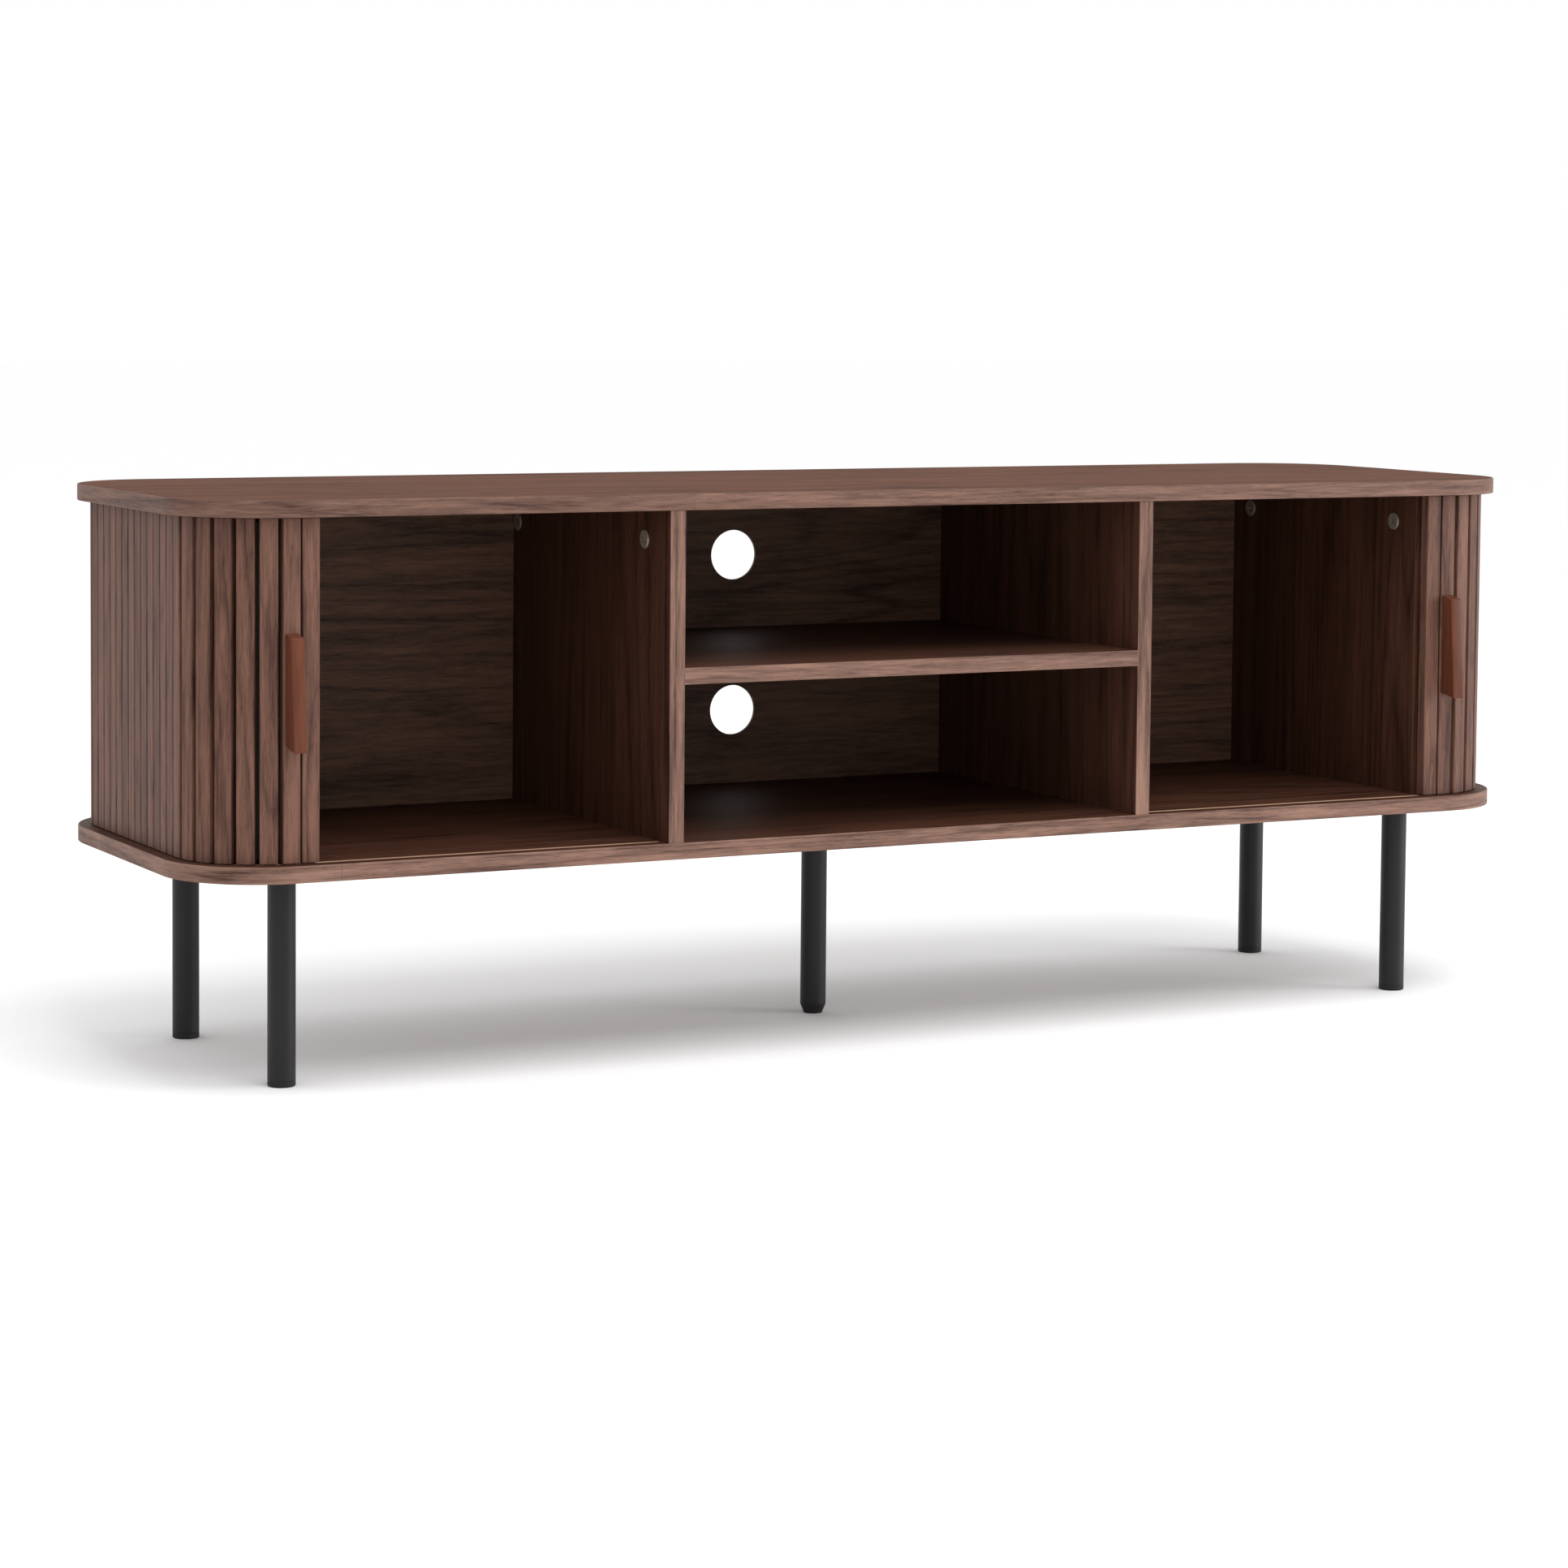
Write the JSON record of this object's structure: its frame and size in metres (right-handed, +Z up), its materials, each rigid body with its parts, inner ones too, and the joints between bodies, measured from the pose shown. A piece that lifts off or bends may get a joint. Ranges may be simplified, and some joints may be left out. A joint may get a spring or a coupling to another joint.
{
  "type": "media cabinet",
  "caption": "Long low media cabinet with rounded corners, open centre bay with a shelf, and slatted tambour doors round both ends on round metal legs.",
  "frame": {"origin": "on the floor under the middle of the cabinet", "axes": "+Z up, front faces -Y, longest along X"},
  "size_m": [1.4, 0.4171, 0.52],
  "materials": {
    "walnut_panel": "walnut-grain laminate, satin",
    "walnut_edge": "walnut-grain edge band, satin",
    "walnut_slat": "walnut-grain foil on slats, satin",
    "back_board": "thin walnut-grain board",
    "handle_wood": "smooth red-brown, satin",
    "black_steel": "black powder coat, fine texture",
    "black_plastic": "matt moulded plastic",
    "zinc": "dull plated zinc",
    "plated_steel": "zinc-plated steel",
    "beech": "plain beech"
  },
  "bodies": {
    "carcass": {"bottom_panel": "walnut_panel", "top_panel": "walnut_panel", "bottom_edge_band": "walnut_edge", "top_edge_band": "walnut_edge", "centre_shelf": "walnut_panel", "centre_back_panel": "back_board", "left_divider": "walnut_panel", "left_side_board": "walnut_panel", "left_back_panel": "back_board", "right_divider": "walnut_panel", "right_side_board": "walnut_panel", "right_back_panel": "back_board", "leg_front_left": "black_steel", "leg_front_right": "black_steel", "leg_rear_left": "black_steel", "leg_rear_right": "black_steel", "leg_centre": "black_steel", "glide_front_left": "black_plastic", "glide_front_right": "black_plastic", "glide_rear_left": "black_plastic", "glide_rear_right": "black_plastic", "centre_leg_insert": "black_plastic", "leg_screws": "plated_steel", "cam_discs": "zinc", "cam_bolts": "plated_steel", "wood_dowels": "beech", "board_screws": "plated_steel"},
    "left_door_front": {"left_door_slat_01_lead": "walnut_slat", "left_door_slat_02": "walnut_slat", "left_door_handle": "handle_wood", "left_door_handle_screws": "plated_steel"},
    "left_door_slat_03": {"left_door_slat_03": "walnut_slat"},
    "left_door_slat_04": {"left_door_slat_04": "walnut_slat"},
    "left_door_slats_05_to_08": {"left_door_slats_05_to_08": "walnut_slat"},
    "left_door_slat_09": {"left_door_slat_09": "walnut_slat"},
    "left_door_slat_10": {"left_door_slat_10": "walnut_slat"},
    "left_door_slats_11_to_21": {"left_door_slats_11_to_21": "walnut_slat"},
    "left_door_slat_22": {"left_door_slat_22": "walnut_slat"},
    "left_door_slat_23": {"left_door_slat_23": "walnut_slat"},
    "left_door_slats_24_to_27": {"left_door_slats_24_to_27": "walnut_slat"},
    "left_door_slat_28": {"left_door_slat_28": "walnut_slat"},
    "left_door_slat_29": {"left_door_slat_29": "walnut_slat"},
    "left_door_slats_30_to_45": {"left_door_slats_30_to_45": "walnut_slat"},
    "right_door_front": {"right_door_slat_01_lead": "walnut_slat", "right_door_slat_02": "walnut_slat", "right_door_handle": "handle_wood", "right_door_handle_screws": "plated_steel"},
    "right_door_slat_03": {"right_door_slat_03": "walnut_slat"},
    "right_door_slat_04": {"right_door_slat_04": "walnut_slat"},
    "right_door_slats_05_to_08": {"right_door_slats_05_to_08": "walnut_slat"},
    "right_door_slat_09": {"right_door_slat_09": "walnut_slat"},
    "right_door_slat_10": {"right_door_slat_10": "walnut_slat"},
    "right_door_slats_11_to_21": {"right_door_slats_11_to_21": "walnut_slat"},
    "right_door_slat_22": {"right_door_slat_22": "walnut_slat"},
    "right_door_slat_23": {"right_door_slat_23": "walnut_slat"},
    "right_door_slats_24_to_27": {"right_door_slats_24_to_27": "walnut_slat"},
    "right_door_slat_28": {"right_door_slat_28": "walnut_slat"},
    "right_door_slat_29": {"right_door_slat_29": "walnut_slat"},
    "right_door_slats_30_to_45": {"right_door_slats_30_to_45": "walnut_slat"},
    "centre_foot": {"centre_foot": "black_plastic"}
  },
  "joints": [
    {"name": "left_door_slide", "type": "slide", "parent": "carcass", "child": "left_door_front", "axis": [1, 0, 0], "range_m": [0, 0.0525]},
    {"name": "left_slat_03_travel", "type": "hinge", "parent": "carcass", "child": "left_door_slat_03", "pos_m": [-0.5925, 0.01918, 0.355], "axis": [0, 0, 1], "range_deg": [0, 15]},
    {"name": "left_slat_04_travel", "type": "hinge", "parent": "carcass", "child": "left_door_slat_04", "pos_m": [-0.60125, -0.08109, 0.355], "axis": [0, 0, 1], "range_deg": [0, 30]},
    {"name": "left_slats_05_to_08_travel", "type": "hinge", "parent": "carcass", "child": "left_door_slats_05_to_08", "pos_m": [-0.61, -0.11375, 0.355], "axis": [0, 0, 1], "range_deg": [0, 45]},
    {"name": "left_slat_09_travel", "type": "hinge", "parent": "carcass", "child": "left_door_slat_09", "pos_m": [-0.57734, -0.105, 0.355], "axis": [0, 0, 1], "range_deg": [0, 30]},
    {"name": "left_slat_10_travel", "type": "hinge", "parent": "carcass", "child": "left_door_slat_10", "pos_m": [-0.47707, -0.09625, 0.355], "axis": [0, 0, 1], "range_deg": [0, 15]},
    {"name": "left_slats_11_to_21_travel", "type": "slide", "parent": "carcass", "child": "left_door_slats_11_to_21", "axis": [0, -1, 0], "range_m": [0, 0.0525]},
    {"name": "left_slat_22_travel", "type": "hinge", "parent": "carcass", "child": "left_door_slat_22", "pos_m": [-0.47707, 0.09625, 0.355], "axis": [0, 0, 1], "range_deg": [0, 15]},
    {"name": "left_slat_23_travel", "type": "hinge", "parent": "carcass", "child": "left_door_slat_23", "pos_m": [-0.57734, 0.105, 0.355], "axis": [0, 0, 1], "range_deg": [0, 30]},
    {"name": "left_slats_24_to_27_travel", "type": "hinge", "parent": "carcass", "child": "left_door_slats_24_to_27", "pos_m": [-0.61, 0.11375, 0.355], "axis": [0, 0, 1], "range_deg": [0, 45]},
    {"name": "left_slat_28_travel", "type": "hinge", "parent": "carcass", "child": "left_door_slat_28", "pos_m": [-0.60125, 0.08109, 0.355], "axis": [0, 0, 1], "range_deg": [0, 30]},
    {"name": "left_slat_29_travel", "type": "hinge", "parent": "carcass", "child": "left_door_slat_29", "pos_m": [-0.5925, -0.01918, 0.355], "axis": [0, 0, 1], "range_deg": [0, 15]},
    {"name": "left_slats_30_to_45_travel", "type": "slide", "parent": "carcass", "child": "left_door_slats_30_to_45", "axis": [-1, 0, 0], "range_m": [0, 0.0525]},
    {"name": "right_door_slide", "type": "slide", "parent": "carcass", "child": "right_door_front", "axis": [-1, 0, 0], "range_m": [0, 0.0525]},
    {"name": "right_slat_03_travel", "type": "hinge", "parent": "carcass", "child": "right_door_slat_03", "pos_m": [0.5925, 0.01918, 0.355], "axis": [0, 0, -1], "range_deg": [0, 15]},
    {"name": "right_slat_04_travel", "type": "hinge", "parent": "carcass", "child": "right_door_slat_04", "pos_m": [0.60125, -0.08109, 0.355], "axis": [0, 0, -1], "range_deg": [0, 30]},
    {"name": "right_slats_05_to_08_travel", "type": "hinge", "parent": "carcass", "child": "right_door_slats_05_to_08", "pos_m": [0.61, -0.11375, 0.355], "axis": [0, 0, -1], "range_deg": [0, 45]},
    {"name": "right_slat_09_travel", "type": "hinge", "parent": "carcass", "child": "right_door_slat_09", "pos_m": [0.57734, -0.105, 0.355], "axis": [0, 0, -1], "range_deg": [0, 30]},
    {"name": "right_slat_10_travel", "type": "hinge", "parent": "carcass", "child": "right_door_slat_10", "pos_m": [0.47707, -0.09625, 0.355], "axis": [0, 0, -1], "range_deg": [0, 15]},
    {"name": "right_slats_11_to_21_travel", "type": "slide", "parent": "carcass", "child": "right_door_slats_11_to_21", "axis": [0, -1, 0], "range_m": [0, 0.0525]},
    {"name": "right_slat_22_travel", "type": "hinge", "parent": "carcass", "child": "right_door_slat_22", "pos_m": [0.47707, 0.09625, 0.355], "axis": [0, 0, -1], "range_deg": [0, 15]},
    {"name": "right_slat_23_travel", "type": "hinge", "parent": "carcass", "child": "right_door_slat_23", "pos_m": [0.57734, 0.105, 0.355], "axis": [0, 0, -1], "range_deg": [0, 30]},
    {"name": "right_slats_24_to_27_travel", "type": "hinge", "parent": "carcass", "child": "right_door_slats_24_to_27", "pos_m": [0.61, 0.11375, 0.355], "axis": [0, 0, -1], "range_deg": [0, 45]},
    {"name": "right_slat_28_travel", "type": "hinge", "parent": "carcass", "child": "right_door_slat_28", "pos_m": [0.60125, 0.08109, 0.355], "axis": [0, 0, -1], "range_deg": [0, 30]},
    {"name": "right_slat_29_travel", "type": "hinge", "parent": "carcass", "child": "right_door_slat_29", "pos_m": [0.5925, -0.01918, 0.355], "axis": [0, 0, -1], "range_deg": [0, 15]},
    {"name": "right_slats_30_to_45_travel", "type": "slide", "parent": "carcass", "child": "right_door_slats_30_to_45", "axis": [1, 0, 0], "range_m": [0, 0.0525]},
    {"name": "centre_foot_adjust", "type": "slide", "parent": "carcass", "child": "centre_foot", "axis": [0, 0, -1], "range_m": [0, 0.008]}
  ],
  "couplings": [
    {"joint": "left_slat_03_travel", "follows": "left_door_slide", "rad_per_m": 4.9867},
    {"joint": "left_slat_04_travel", "follows": "left_door_slide", "rad_per_m": 9.9733},
    {"joint": "left_slats_05_to_08_travel", "follows": "left_door_slide", "rad_per_m": 14.96},
    {"joint": "left_slat_09_travel", "follows": "left_door_slide", "rad_per_m": 9.9733},
    {"joint": "left_slat_10_travel", "follows": "left_door_slide", "rad_per_m": 4.9867},
    {"joint": "left_slats_11_to_21_travel", "follows": "left_door_slide", "ratio": 1},
    {"joint": "left_slat_22_travel", "follows": "left_door_slide", "rad_per_m": 4.9867},
    {"joint": "left_slat_23_travel", "follows": "left_door_slide", "rad_per_m": 9.9733},
    {"joint": "left_slats_24_to_27_travel", "follows": "left_door_slide", "rad_per_m": 14.96},
    {"joint": "left_slat_28_travel", "follows": "left_door_slide", "rad_per_m": 9.9733},
    {"joint": "left_slat_29_travel", "follows": "left_door_slide", "rad_per_m": 4.9867},
    {"joint": "left_slats_30_to_45_travel", "follows": "left_door_slide", "ratio": 1},
    {"joint": "right_slat_03_travel", "follows": "right_door_slide", "rad_per_m": 4.9867},
    {"joint": "right_slat_04_travel", "follows": "right_door_slide", "rad_per_m": 9.9733},
    {"joint": "right_slats_05_to_08_travel", "follows": "right_door_slide", "rad_per_m": 14.96},
    {"joint": "right_slat_09_travel", "follows": "right_door_slide", "rad_per_m": 9.9733},
    {"joint": "right_slat_10_travel", "follows": "right_door_slide", "rad_per_m": 4.9867},
    {"joint": "right_slats_11_to_21_travel", "follows": "right_door_slide", "ratio": 1},
    {"joint": "right_slat_22_travel", "follows": "right_door_slide", "rad_per_m": 4.9867},
    {"joint": "right_slat_23_travel", "follows": "right_door_slide", "rad_per_m": 9.9733},
    {"joint": "right_slats_24_to_27_travel", "follows": "right_door_slide", "rad_per_m": 14.96},
    {"joint": "right_slat_28_travel", "follows": "right_door_slide", "rad_per_m": 9.9733},
    {"joint": "right_slat_29_travel", "follows": "right_door_slide", "rad_per_m": 4.9867},
    {"joint": "right_slats_30_to_45_travel", "follows": "right_door_slide", "ratio": 1}
  ]
}
